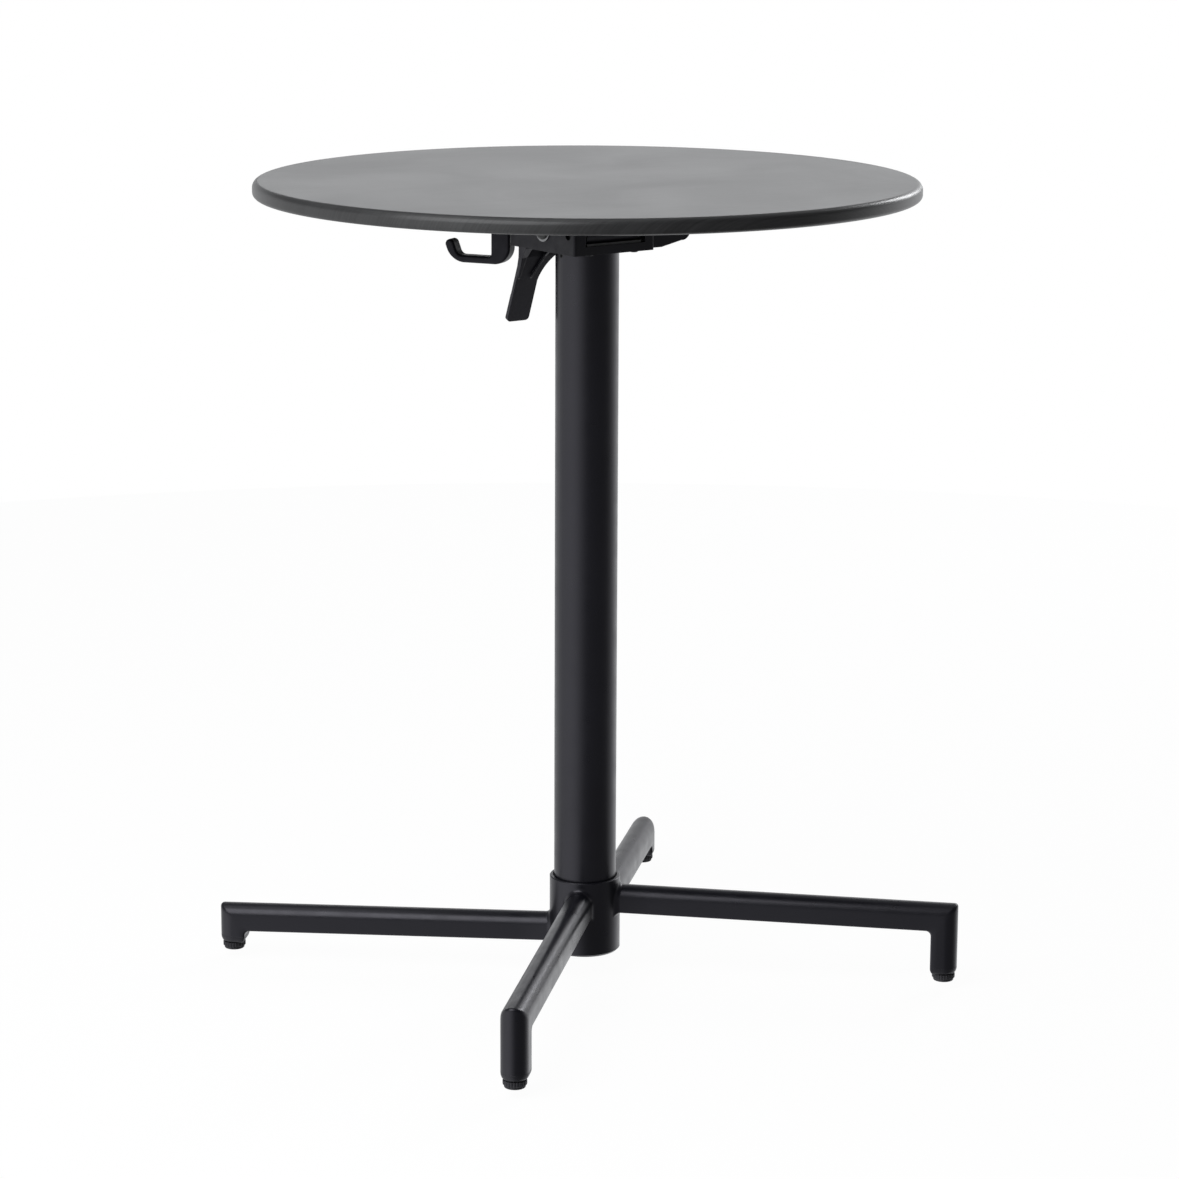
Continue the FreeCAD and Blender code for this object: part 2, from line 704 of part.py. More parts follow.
def head_housing():
    """Cast box on a spigot: open above, notched in front for the knuckle, open low at the rear."""
    body = new_body("head_housing")
    half = S.head_half_width
    inner = half - S.head_wall
    plan = new_sketch(body, "XY_Plane", "head_plan", S.head_bottom)
    block(plan, -half, half, -S.head_front, S.head_rear)
    extrude(body, "Pad", plan, S.head_height)
    round_edges(body, S.head_corner, lambda edge: is_along(edge, VECTOR(0, 0, 1)))
    DOC.recompute()

    well = new_sketch(body, "XY_Plane", "head_well", HEAD_TOP)
    block(well, -inner, inner, -S.head_front + S.head_wall, S.head_rear - S.head_wall)
    extrude(body, "Pocket", well, S.head_height - S.head_floor)

    lip = new_sketch(body, "XY_Plane", "front_lip", S.head_bottom)
    block(lip, -inner, inner, -S.head_front + 1, -S.head_front + S.lip_depth)
    extrude(body, "Pad", lip, S.notch_bottom - S.head_bottom)
    notch = new_sketch(body, "XZ_Plane", "front_notch", S.head_front + 1)
    block(notch, -S.notch_left, S.notch_right, S.notch_bottom, HEAD_TOP + 1)
    extrude(body, "Pocket", notch, S.notch_depth)

    mouth = new_sketch(body, "XZ_Plane", "lever_mouth", -S.lever_y + 10)
    block(mouth, -S.lever_left - 0.5, S.lever_left + 0.5, S.head_bottom - 1, HEAD_TOP + 1)
    extrude(body, "Pocket", mouth, S.head_rear)

    spigot = new_sketch(body, "XY_Plane", "spigot", FLOOR_TOP)
    ring(spigot, 0, 0, S.spigot_radius)
    extrude(body, "Pad", spigot, S.spigot_length, reverse=True)
    hollow = new_sketch(body, "XY_Plane", "spigot_hollow", S.head_bottom)
    ring(hollow, 0, 0, S.spigot_bore)
    extrude(body, "Pocket", hollow, S.spigot_length + 5)

    bosses = new_sketch(body, "YZ_Plane", "pin_bosses", -half + 1)
    ring(bosses, S.fold_y, S.fold_z, S.bush_flange_radius)
    extrude(body, "Pad", bosses, half - S.knuckle_half - S.bush_flange - 1.3)
    right = new_sketch(body, "YZ_Plane", "pin_boss_right", half - 1)
    ring(right, S.fold_y, S.fold_z, S.bush_flange_radius)
    extrude(body, "Pad", right, half - S.knuckle_half - S.bush_flange - 1.3, reverse=True)

    for name, y, z, radius in (
            ("fold_bore", S.fold_y, S.fold_z, S.fold_pin_radius),
            ("lever_bore", S.lever_y, S.lever_z, S.lever_pin_radius),
            ("rest_bore", S.rest_y, S.rest_z, S.side_bolt_radius)):
        bore = new_sketch(body, "YZ_Plane", name)
        ring(bore, y, z, radius)
        extrude(body, "Pocket", bore, half * 2 + 2, symmetric=True)
    screw_along_x = new_sketch(body, "YZ_Plane", "set_screws_x")
    ring(screw_along_x, 0, S.set_screw_height, S.set_screw_radius)
    extrude(body, "Pocket", screw_along_x, S.spigot_radius * 2 + 2, symmetric=True)
    pad_holes = new_sketch(body, "XY_Plane", "pad_screw_holes", S.head_bottom)
    for index, side in enumerate((-1, 1)):
        ring(pad_holes, S.pad_screw_x * side, S.pad_screw_y, S.pad_screw_radius, "hole%d" % index)
    extrude(body, "Pocket", pad_holes, S.notch_bottom - S.head_bottom + 1, reverse=True)


def fold_pin():
    bar = cylinder("fold_pin_bar", S.fold_pin_radius, S.fold_pin_half * 2, "X",
                   -S.fold_pin_half, S.fold_y, S.fold_z)
    keep(bar, "fold_pin")


def rest_bar():
    bar = cylinder("rest_bar_blank", S.rest_bar_radius, (S.head_half_width - S.head_wall) * 2, "X",
                   -S.head_half_width + S.head_wall, S.rest_y, S.rest_z)
    threads = cylinder("rest_bar_threads", S.side_bolt_radius, S.head_half_width * 2, "X",
                       -S.head_half_width, S.rest_y, S.rest_z)
    keep(cut("rest_bar_cut", bar, threads), "rest_bar")


def rest_sleeves():
    def build(side):
        name = "rest_sleeve_%s" % ("right" if side > 0 else "left")
        start = S.head_half_width - S.head_wall - 6 - S.rest_sleeve_length
        if side < 0:
            start = -S.head_half_width + S.head_wall + 6
        skin = cylinder(name + "_skin", S.rest_sleeve_radius, S.rest_sleeve_length, "X",
                        start, S.rest_y, S.rest_z)
        bore = cylinder(name + "_bore", S.rest_bar_radius, S.rest_sleeve_length + 2, "X",
                        start - 1, S.rest_y, S.rest_z)
        return cut(name, skin, bore)
    group("rest_sleeves", mirrored_pair(build))


def side_washers():
    def build(side):
        name = "side_washer_%s" % ("right" if side > 0 else "left")
        start = S.head_half_width if side > 0 else -S.head_half_width - S.side_washer_thickness
        disc = cylinder(name + "_disc", S.side_washer_radius, S.side_washer_thickness, "X",
                        start, S.rest_y, S.rest_z)
        bore = cylinder(name + "_bore", S.side_bolt_radius + 0.3, S.head_half_width * 4, "X",
                        S.head_half_width * -2, S.rest_y, S.rest_z)
        return cut(name, disc, bore)
    group("side_washers", mirrored_pair(build))


def side_bolts():
    """Domed bolts with a hex socket that hold the rest bar from both sides."""
    def build(side):
        name = "side_bolt_%s" % ("right" if side > 0 else "left")
        body = DOC.addObject("PartDesign::Body", "Body_" + name)
        section = new_sketch(body, "XZ_Plane", name + "_section")
        top = S.side_bolt_head_height
        outline(section, [
            (0, -20), (S.side_bolt_radius - 0.05, -20), (S.side_bolt_radius - 0.05, 0),
            (S.side_bolt_head_radius, 0), (S.side_bolt_head_radius, 0.6, 5, 1),
            (S.side_bolt_head_radius * 0.6, top), (0, top),
        ])
        revolve(body, "Revolution", section)
        socket = new_sketch(body, "XY_Plane", name + "_socket", top)
        corner = S.side_bolt_radius * 0.7
        hexagon = [(corner * math.cos(math.radians(60 * k)), corner * math.sin(math.radians(60 * k)))
                   for k in range(6)]
        outline(socket, hexagon)
        extrude(body, "Pocket", socket, S.side_bolt_socket)
        body.Placement = FreeCAD.Placement(
            VECTOR(0, 0, 0), FreeCAD.Rotation(VECTOR(0, 1, 0), 90 * side))
        seat = S.head_half_width + S.side_washer_thickness
        place(body, seat * side, S.rest_y, S.rest_z)
        return body
    group("side_bolts", mirrored_pair(build))


def head_set_screws():
    """Two cone-point screws through the column wall into the spigot."""
    outer = S.column_radius - 0.4

    def build(side):
        name = "set_screw_%s" % ("right" if side > 0 else "left")
        start = outer - S.set_screw_length if side > 0 else -outer
        bar = cylinder(name + "_bar", S.set_screw_radius - 0.03, S.set_screw_length, "X",
                       start, 0, S.set_screw_height)
        mouth = outer - S.set_screw_socket if side > 0 else -outer
        socket = cylinder(name + "_socket", S.set_screw_radius * 0.5, S.set_screw_socket, "X",
                          mouth, 0, S.set_screw_height)
        return cut(name, bar, socket)
    group("head_set_screws", mirrored_pair(build))


def knuckle_pad():
    """A friction shoe on the front lip, hollowed to the knuckle's curve."""
    body = new_body("knuckle_pad")
    section = new_sketch(body, "YZ_Plane", "pad_section")
    block(section, -S.head_front + 1, -S.head_front + S.lip_depth,
          S.notch_bottom, S.notch_bottom + S.pad_thickness)
    extrude(body, "Pad", section, S.knuckle_half * 2, symmetric=True)
    hollow = new_sketch(body, "YZ_Plane", "pad_hollow")
    ring(hollow, S.fold_y, S.fold_z, S.knuckle_radius + 0.3)
    extrude(body, "Pocket", hollow, S.knuckle_half * 2 + 2, symmetric=True)


def knuckle_pad_screws():
    solids = [pan_screw("pad_screw%d" % i, S.pad_screw_x * side, S.pad_screw_y, S.head_bottom,
                        S.pad_screw_radius - 0.03, S.pad_screw_head_radius, S.pad_screw_head_height,
                        S.notch_bottom - S.head_bottom)
              for i, side in enumerate((-1, 1))]
    group("knuckle_pad_screws", solids)


# ---------------------------------------------------------------- release lever

def release_lever():
    """Moulded paddle under a full-width barrel, stiffened by a tapered flange and a slanting rib."""
    body = new_body("release_lever")
    span = (S.lever_left - 0.3) * 2
    left = -S.lever_paddle_left
    right = left + S.lever_paddle_width
    tip_y = S.lever_face_y + (S.lever_face_z - S.lever_tip_z) * S.lever_lean
    side = new_sketch(body, "YZ_Plane", "paddle_side", left)
    outline(side, [
        (S.lever_y + 1.5, S.lever_z), (S.lever_face_y, S.lever_face_z), (tip_y, S.lever_tip_z),
        (tip_y + S.lever_thickness, S.lever_tip_z + 1.5),
        (S.lever_face_y + S.lever_thickness, S.lever_face_z), (S.lever_y + 5.2, S.lever_z),
    ])
    extrude(body, "Pad", side, S.lever_paddle_left + S.lever_shoulder)

    trim = new_sketch(body, "XZ_Plane", "paddle_trim")
    outline(trim, [
        (right, S.lever_tip_z - 5), (60, S.lever_tip_z - 5), (60, S.lever_z - 7),
        (right + 32, S.lever_neck_z + 30),
        (right + 22, S.lever_neck_z + 27.5, S.lever_neck_radius + 12, 1), (right, S.lever_neck_z),
    ])
    extrude(body, "Pocket", trim, S.through)
    tip = DIMENSIONS["lever_tip_z"] + 2
    round_edges(body, S.lever_corner, lambda edge: edge.BoundBox.ZMax < tip
                and edge.BoundBox.XLength < 0.01)
    DOC.recompute()

    ribs = new_sketch(body, "XZ_Plane", "lever_ribs", -S.lever_face_y + S.lever_flange_depth)
    high = S.head_bottom + 3
    low = S.lever_neck_z
    outline(ribs, [
        (-S.lever_left + 0.5, high), (left + S.lever_flange, high),
        (left + S.lever_flange * 0.55, low + 12), (left + 1.6, low - 6), (left, low - 8),
        (left, low + 14),
    ], label="flange")
    outline(ribs, [
        (right + 7, high), (right + 9.5, high), (right - 8.5, low + 2), (right - 10.8, low + 2),
    ], label="rib")
    extrude(body, "Pad", ribs, S.lever_rib_room, reverse=True)
    slant = new_sketch(body, "YZ_Plane", "rib_slant")
    face = S.lever_face_y
    neck_y = face + (S.lever_face_z - S.lever_neck_z) * S.lever_lean
    outline(slant, [
        (10, low - 12), (neck_y + 2.4, low - 10), (face - 2, S.lever_face_z),
        (face - S.lever_flange_depth + 0.6, S.head_bottom - 2),
        (face - S.lever_flange_depth + 0.6, S.lever_z), (10, S.lever_z),
    ])
    extrude(body, "Pocket", slant, span + 4, symmetric=True)
    heel = new_sketch(body, "YZ_Plane", "rib_heel")
    back = S.lever_thickness - 0.05
    outline(heel, [
        (face + back + (S.lever_face_z - low + 12) * S.lever_lean, low - 12), (100, low - 12),
        (100, S.lever_z), (S.lever_y + 5.1, S.lever_z), (face + back, S.lever_face_z),
    ])
    extrude(body, "Pocket", heel, span + 4, symmetric=True)

    clear = new_sketch(body, "XZ_Plane", "pawl_room")
    block(clear, -S.pawl_width / 2 - 0.4, 30, S.lever_z - S.pawl_ring_radius - 0.6, S.lever_z + 20)
    extrude(body, "Pocket", clear, S.through)
    barrel = new_sketch(body, "YZ_Plane", "lever_barrel")
    ring(barrel, S.lever_y, S.lever_z, S.lever_barrel_radius)
    extrude(body, "Pad", barrel, span, symmetric=True)

    bore = new_sketch(body, "YZ_Plane", "lever_bore_hole")
    ring(bore, S.lever_y, S.lever_z, S.lever_pin_radius + S.running_gap)
    extrude(body, "Pocket", bore, span + 4, symmetric=True)


def lever_pin():
    bar = cylinder("lever_pin_bar", S.lever_pin_radius, S.head_half_width * 2, "X",
                   -S.head_half_width, S.lever_y, S.lever_z)
    keep(bar, "lever_pin")


def latch_pawl():
    """A ring clamped on the lever's barrel with a nose that faces the keeper pin."""
    body = new_body("latch_pawl")
    nose_y = S.keeper_y + S.keeper_radius + S.keeper_gap
    shape = new_sketch(body, "YZ_Plane", "pawl_shape")
    tip = S.lever_z + S.pawl_height
    outline(shape, [
        (S.lever_y - 6, S.lever_z), (S.lever_y + 6, S.lever_z), (S.lever_y + 5, tip - 7),
        (S.lever_y - 2, tip), (nose_y, tip), (nose_y, tip - S.pawl_nose),
        (S.lever_y - 6, tip - 11),
    ])
    extrude(body, "Pad", shape, S.pawl_width, symmetric=True)
    eye = new_sketch(body, "YZ_Plane", "pawl_eye")
    ring(eye, S.lever_y, S.lever_z, S.pawl_ring_radius)
    extrude(body, "Pad", eye, S.pawl_width, symmetric=True)
    bore = new_sketch(body, "YZ_Plane", "pawl_bore")
    ring(bore, S.lever_y, S.lever_z, S.lever_barrel_radius)
    extrude(body, "Pocket", bore, S.pawl_width + 2, symmetric=True)


def lever_spring():
    """Torsion spring round the lever's barrel, with one straight leg."""
    coil = DOC.addObject("Part::Helix", "spring_helix")
    bind(coil, Pitch=S.spring_pitch, Height=S.spring_pitch * S.spring_turns, Radius=S.spring_radius)
    wire = DOC.addObject("Part::Circle", "spring_wire_section")
    bind(wire, Radius=S.spring_wire)
    wire.Placement = FreeCAD.Placement(VECTOR(0, 0, 0), FreeCAD.Rotation(VECTOR(1, 0, 0), 90))
    place(wire, S.spring_radius, 0, 0)
    sweep = DOC.addObject("Part::Sweep", "spring_sweep")
    sweep.Sections = [wire]
    sweep.Spine = coil
    sweep.Solid = True
    sweep.Frenet = True
    sweep.Placement = FreeCAD.Placement(VECTOR(0, 0, 0), FreeCAD.Rotation(VECTOR(0, 1, 0), 90))
    place(sweep, S.spring_start, S.lever_y, S.lever_z)
    keep(sweep, "lever_spring")


# ---------------------------------------------------------------- column and hub

def column_tube():
    body = new_body("column_tube")
    section = new_sketch(body, "XY_Plane", "column_section", S.hub_seat)
    ring(section, 0, 0, S.column_radius, "outer")
    ring(section, 0, 0, S.column_radius - S.column_wall, "inner")
    extrude(body, "Pad", section, S.head_bottom - S.hub_seat)
    holes = new_sketch(body, "YZ_Plane", "set_screw_holes")
    ring(holes, 0, S.set_screw_height, S.set_screw_radius)
    extrude(body, "Pocket", holes, S.column_radius * 2 + 2, symmetric=True)


def base_hub():
    """Sleeve that the column drops into, with a web for the base bolt and a shadow gap on top."""
    body = new_body("base_hub")
    section = new_sketch(body, "XZ_Plane", "hub_section")
    outer = S.hub_radius
    inner = S.column_radius + 0.05
    edge = S.hub_edge_round
    outline(section, [
        (S.base_bolt_radius + 0.3, S.hub_seat), (inner, S.hub_seat),
        (inner, S.hub_top - S.hub_lip_depth), (inner + S.hub_lip_gap, S.hub_top - S.hub_lip_depth),
        (inner + S.hub_lip_gap, S.hub_top), (outer - 0.8, S.hub_top), (outer, S.hub_top - 0.8),
        (outer, S.hub_bottom + edge), (outer - edge, S.hub_bottom),
        (S.hub_recess_radius, S.hub_bottom), (S.hub_recess_radius, S.hub_seat - S.hub_web),
        (S.base_bolt_radius + 0.3, S.hub_seat - S.hub_web),
    ])
    revolve(body, "Revolution", section)


def column_plug():
    plug = cylinder("column_plug_blank", S.column_radius - S.column_wall, S.column_plug_length,
                    z=S.hub_seat)
    thread = cylinder("column_plug_thread", S.base_bolt_radius, S.column_plug_length + 2,
                      z=S.hub_seat - 1)
    keep(cut("column_plug_cut", plug, thread), "column_plug")


def base_washer():
    under = S.hub_seat - S.hub_web - S.base_washer_thickness
    disc = cylinder("base_washer_disc", S.base_washer_radius, S.base_washer_thickness, z=under)
    bore = cylinder("base_washer_bore", S.base_bolt_radius + 0.3, S.base_washer_thickness + 2,
                    z=under - 1)
    keep(cut("base_washer_cut", disc, bore), "base_washer")


def base_bolt():
    seat = S.hub_seat - S.hub_web - S.base_washer_thickness
    head = cylinder("base_bolt_head", S.base_bolt_head_radius, S.base_bolt_head_height,
                    z=seat - S.base_bolt_head_height)
    socket = DOC.addObject("Part::Prism", "base_bolt_socket")
    socket.Polygon = 6
    bind(socket, Circumradius=S.base_bolt_radius * 0.92, Height=S.base_bolt_head_height * 0.6)
    place(socket, 0, 0, seat - S.base_bolt_head_height)
    shank = cylinder("base_bolt_shank", S.base_bolt_radius - 0.02, S.hub_web + S.column_plug_length,
                     z=seat)
    keep(fuse("base_bolt_whole", [cut("base_bolt_head_cut", head, socket), shank]), "base_bolt")


def base_cap():
    disc = cylinder("base_cap_disc", S.hub_recess_radius - 0.1, S.base_cap_thickness, z=S.hub_bottom)
    keep(disc, "base_cap")


# ---------------------------------------------------------------- legs, caps and glides

def arch_section(sketch, base, inset, label):
    """Flat below and half round above; inset moves the whole outline inwards."""
    width = S.leg_width / 2
    spring = base + S.leg_section - width
    radius = width - inset
    outline(sketch, [
        (-width + inset, base + inset), (width - inset, base + inset),
        (width - inset, spring, radius, 1), (0, base + S.leg_section - inset, radius, 1),
        (-width + inset, spring),
    ], label=label)


def is_inner_corner(edge):
    """The outside edge where a leg's flat underside meets its post."""
    post_face = DIMENSIONS["foot_radius"] - DIMENSIONS["leg_section"] / 2
    return is_along(edge, VECTOR(0, 1, 0)) and abs(edge.BoundBox.XMin - post_face) < 0.3 \
        and edge.BoundBox.ZMin > DIMENSIONS["post_bottom"] + 1


def leg(name, base, angle):
    body = new_body(name)
    slope = math.tan(math.radians(DIMENSIONS["leg_slope"]))
    middle = base + S.leg_section / 2
    drop = (S.foot_radius - S.leg_start) * slope
    route = new_sketch(body, "XZ_Plane", name + "_route")
    outline(route, [
        (S.leg_start, middle), (S.foot_radius, middle - drop), (S.foot_radius, S.post_bottom - 2),
    ], closed=False)
    profile = new_sketch(body, "YZ_Plane", name + "_profile", S.leg_start)
    arch_section(profile, base, 0, "outer")
    pipe = body.newObject("PartDesign::AdditivePipe", name + "_tube")
    pipe.Profile = profile
    pipe.Spine = route
    pipe.Transition = "Right corner"
    inside = new_sketch(body, "YZ_Plane", name + "_inside", S.leg_start)
    arch_section(inside, base, S.leg_wall, "inner")
    hollow = body.newObject("PartDesign::SubtractivePipe", name + "_bore")
    hollow.Profile = inside
    hollow.Spine = route
    hollow.Transition = "Right corner"
    foot = new_sketch(body, "XZ_Plane", name + "_foot")
    block(foot, S.foot_radius - S.leg_section, S.foot_radius + S.leg_section, 0, S.post_bottom)
    extrude(body, "Pocket", foot, S.leg_width + 2, symmetric=True)
    round_edges(body, S.leg_inner_round, is_inner_corner)
    saddle = new_sketch(body, "XY_Plane", name + "_saddle")
    ring(saddle, 0, 0, S.hub_radius)
    extrude(body, "Pocket", saddle, S.through, reverse=True)
    turn_about_column(body, angle)


def turn_about_column(item, angle):
    item.Placement = FreeCAD.Placement(VECTOR(0, 0, 0), FreeCAD.Rotation(VECTOR(0, 0, 1), 1))
    bind(item, Placement__Rotation__Angle=angle)


FEET = (
    ("high_left", S.high_leg_base, -S.leg_spread - 90),
    ("high_right", S.high_leg_base, S.leg_spread - 90),
    ("low_right", S.low_leg_base, -S.leg_spread + 90),
    ("low_left", S.low_leg_base, S.leg_spread + 90),
)


def foot_section(body, name, level, inset):
    """The post's cross-section: flat towards the column, half round outwards."""
    sketch = new_sketch(body, "XY_Plane", name, level)
    width = S.leg_width / 2
    back = S.foot_radius - S.leg_section / 2
    spring = back + S.leg_section - width
    radius = width - inset
    outline(sketch, [
        (back + inset, -width + inset), (spring, -width + inset, radius, 1),
        (back + S.leg_section - inset, 0, radius, 1), (spring, width - inset),
        (back + inset, width - inset),
    ])
    return sketch


def foot_end_caps():
    solids = []
    for foot, _, angle in FEET:
        body = DOC.addObject("PartDesign::Body", "Body_cap_" + foot)
        rim = foot_section(body, "cap_rim_" + foot, S.cap_bottom, 0)
        extrude(body, "Pad", rim, S.post_bottom - S.cap_bottom)
        low = DIMENSIONS["cap_bottom"] + 0.1
        round_edges(body, S.cap_round, lambda edge: edge.BoundBox.ZMax < low)
        DOC.recompute()
        plug = foot_section(body, "cap_plug_" + foot, S.post_bottom, S.leg_wall + 0.05)
        extrude(body, "Pad", plug, S.cap_plug_length)
        bore = new_sketch(body, "XY_Plane", "cap_bore_" + foot, S.cap_bottom - 1)
        ring(bore, S.foot_radius, 0, S.stud_radius + S.stud_clearance)
        extrude(body, "Pocket", bore, S.through, reverse=True)
        turn_about_column(body, angle)
        solids.append(body)
    group("foot_end_caps", solids)


def glides():
    for foot, _, angle in FEET:
        body = new_body("glide_" + foot)
        section = new_sketch(body, "XZ_Plane", "glide_section_" + foot)
        radius = S.glide_radius
        height = S.glide_thickness
        pad = S.glide_pad_radius
        step = S.glide_pad_thickness
        outline(section, [
            (0, 0), (pad - 1, 0), (pad, 1), (pad, step), (radius - 0.6, step),
            (radius, step + 0.6), (radius, height - 0.8), (radius - 0.8, height), (0, height),
        ])
        revolve(body, "Revolution", section)
        flute = new_sketch(body, "XY_Plane", "glide_flute_" + foot, height + 1)
        ring(flute, radius, 0, S.glide_flute_radius)
        groove = extrude(body, "Pocket", flute, height + 1 - step)
        DOC.recompute()
        pattern = body.newObject("PartDesign::PolarPattern", "glide_flutes_" + foot)
        pattern.Originals = [groove]
        pattern.Axis = (flute, ["N_Axis"])
        pattern.Angle = 360
        pattern.Occurrences = int(DIMENSIONS["glide_flutes"])
        body.Tip = pattern
        turn = math.radians(angle.value)
        reach = S.foot_radius
        place(body, reach * math.cos(turn), reach * math.sin(turn), 0)
        stud = cylinder("stud_bar_" + foot, S.stud_radius, S.stud_length,
                        x=reach * math.cos(turn), y=reach * math.sin(turn), z=height)
        keep(stud, "glide_stud_" + foot)


def build_all():
    fill_sheet()
    tabletop()
    threaded_inserts()
    tilt_bracket()
    bracket_screws()
    fold_bushes()
    keeper_pin()
    bag_hook()
    hook_screws()
    head_housing()
    fold_pin()
    rest_bar()
    rest_sleeves()
    side_washers()
    side_bolts()
    head_set_screws()
    knuckle_pad()
    knuckle_pad_screws()
    release_lever()
    lever_pin()
    latch_pawl()
    lever_spring()
    column_tube()
    base_hub()
    column_plug()
    base_washer()
    base_bolt()
    base_cap()
    for foot, base, angle in FEET:
        leg("leg_" + foot, base, angle)
    foot_end_caps()
    glides()
    DOC.recompute()


def check_all():
    """Stop unless every object computed and every sub-part is one valid shape."""
    for item in DOC.Objects:
        if "Invalid" in item.State or "Error" in item.State:
            raise RuntimeError("%s (%s) failed: %s" % (item.Name, item.Label, item.State))
    for item in PIECES:
        if item.Shape.isNull() or not item.Shape.isValid() or not item.Shape.Solids:
            raise RuntimeError("%s has no valid shape" % item.Label)


def export_all():
    os.makedirs("parts", exist_ok=True)
    for item in PIECES:
        item.Shape.exportStep("parts/%s.step" % item.Label)
        box = item.Shape.BoundBox
        print("%-22s solids %d  volume %9.0f  x %.1f..%.1f y %.1f..%.1f z %.1f..%.1f" % (
            item.Label, len(item.Shape.Solids), item.Shape.Volume,
            box.XMin, box.XMax, box.YMin, box.YMax, box.ZMin, box.ZMax))


build_all()
check_all()
export_all()
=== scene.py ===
import json
import math

import bmesh
import bpy
from mathutils import Matrix, Vector


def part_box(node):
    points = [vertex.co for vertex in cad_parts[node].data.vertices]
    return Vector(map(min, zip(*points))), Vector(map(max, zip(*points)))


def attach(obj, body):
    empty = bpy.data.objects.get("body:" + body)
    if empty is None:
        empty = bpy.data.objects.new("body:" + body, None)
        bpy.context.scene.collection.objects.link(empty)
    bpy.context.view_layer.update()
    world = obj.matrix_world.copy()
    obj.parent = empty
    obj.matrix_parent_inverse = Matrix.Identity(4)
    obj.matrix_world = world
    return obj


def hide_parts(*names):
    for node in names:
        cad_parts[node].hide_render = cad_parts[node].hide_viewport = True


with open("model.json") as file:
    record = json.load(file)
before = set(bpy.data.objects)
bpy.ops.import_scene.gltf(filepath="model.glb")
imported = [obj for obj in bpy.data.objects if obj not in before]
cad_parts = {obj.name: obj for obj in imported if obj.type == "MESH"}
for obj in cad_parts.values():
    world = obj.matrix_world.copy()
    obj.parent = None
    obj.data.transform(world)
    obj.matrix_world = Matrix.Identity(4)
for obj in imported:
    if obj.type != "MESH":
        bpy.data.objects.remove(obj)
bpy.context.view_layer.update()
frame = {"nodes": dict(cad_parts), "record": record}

# Looks for the folding cafe table: camera, studio, procedural materials, and the smooth pieces that
# stand for the CAD nodes whose surface matters most. Metres, in the CAD frame.

NODES = frame["nodes"]
SCENE = bpy.context.scene

# ---------------------------------------------------------------- camera

CAMERA_AZIMUTH = -36.2      # degrees, 0 looks along +Y
CAMERA_DISTANCE = 3.2763    # on plan, from the column's axis
CAMERA_HEIGHT = 1.0998
CAMERA_TILT = 12.72         # degrees down
CAMERA_PAN = 0.08           # degrees to the right
CAMERA_ROLL = 0.24          # degrees
CAMERA_LENS = 111.5         # millimetres on a 36 mm sensor
CAMERA_SHIFT = -0.00125


def make_camera():
    data = bpy.data.cameras.new("camera")
    data.lens = CAMERA_LENS
    data.sensor_width = 36
    data.shift_x = CAMERA_SHIFT
    data.clip_end = 100
    camera = bpy.data.objects.new("camera", data)
    SCENE.collection.objects.link(camera)
    heading = math.radians(CAMERA_AZIMUTH)
    camera.location = (CAMERA_DISTANCE * math.sin(heading),
                       -CAMERA_DISTANCE * math.cos(heading), CAMERA_HEIGHT)
    turn = (Matrix.Rotation(heading - math.radians(CAMERA_PAN), 3, "Z")
            @ Matrix.Rotation(math.radians(90 - CAMERA_TILT), 3, "X")
            @ Matrix.Rotation(math.radians(CAMERA_ROLL), 3, "Z"))
    camera.rotation_euler = turn.to_euler()
    SCENE.camera = camera


# ---------------------------------------------------------------- studio

FLOOR_RADIUS = 2.4          # metres
FLOOR_LEVEL = -0.0082       # where the glides stand when they are screwed all the way out
# How bright the room is round the table: degrees from the camera's side (plus is the camera's right)
# and radiance, for directions near and below the horizon.
ROOM = (
    (-180, 0.95), (-150, 0.80), (-126, 0.75), (-92, 0.95), (-58, 1.25), (-36, 1.10), (-16, 0.56),
    (2, 0.20), (60, 0.17), (84, 0.20), (100, 0.50), (116, 0.90), (132, 1.25), (155, 1.15), (180, 0.95),
)
ROOM_HORIZON = 0.14         # sine of the elevation up to which the room keeps that brightness
ROOM_DIM = 0.34             # and beyond which it is dimmer,
ROOM_DIM_SHARE = 0.30       # by this share
LIGHT_TINT = (0.975, 0.985, 1.0)
# Softboxes: azimuth from the camera's side and elevation in degrees, distance, width and height in
# metres, watts, and the height of the point on the column that each one faces.
SOFTBOXES = {
    "overhead": (-70, 74, 2.6, 2.4, 2.0, 11, 0.45),
    "front_left": (-35, 45, 1.7, 1.2, 1.1, 12, 0.1),
    "right": (142, 20, 3.0, 0.5, 1.0, 18, 0.7),
    "back": (165, 15, 3.4, 3.6, 0.7, 8.2, 0.72),
}


def make_floor():
    """A disc of white paper; past its edge the camera sees the white world."""
    mesh = bpy.data.meshes.new("floor")
    build = bmesh.new()
    bmesh.ops.create_circle(build, cap_ends=True, segments=96, radius=FLOOR_RADIUS)
    build.to_mesh(mesh)
    build.free()
    floor = bpy.data.objects.new("floor", mesh)
    SCENE.collection.objects.link(floor)
    floor.location.z = FLOOR_LEVEL
    floor.visible_glossy = False
    floor.visible_diffuse = False
    material = bpy.data.materials.new("floor_paper")
    material.use_nodes = True
    shader = material.node_tree.nodes["Principled BSDF"]
    shader.inputs["Base Color"].default_value = (0.05, 0.05, 0.05, 1)
    shader.inputs["Roughness"].default_value = 0.9
    shader.inputs["Specular IOR Level"].default_value = 0.0
    shader.inputs["Emission Color"].default_value = (1, 1, 1, 1)
    shader.inputs["Emission Strength"].default_value = 0.96
    mesh.materials.append(material)


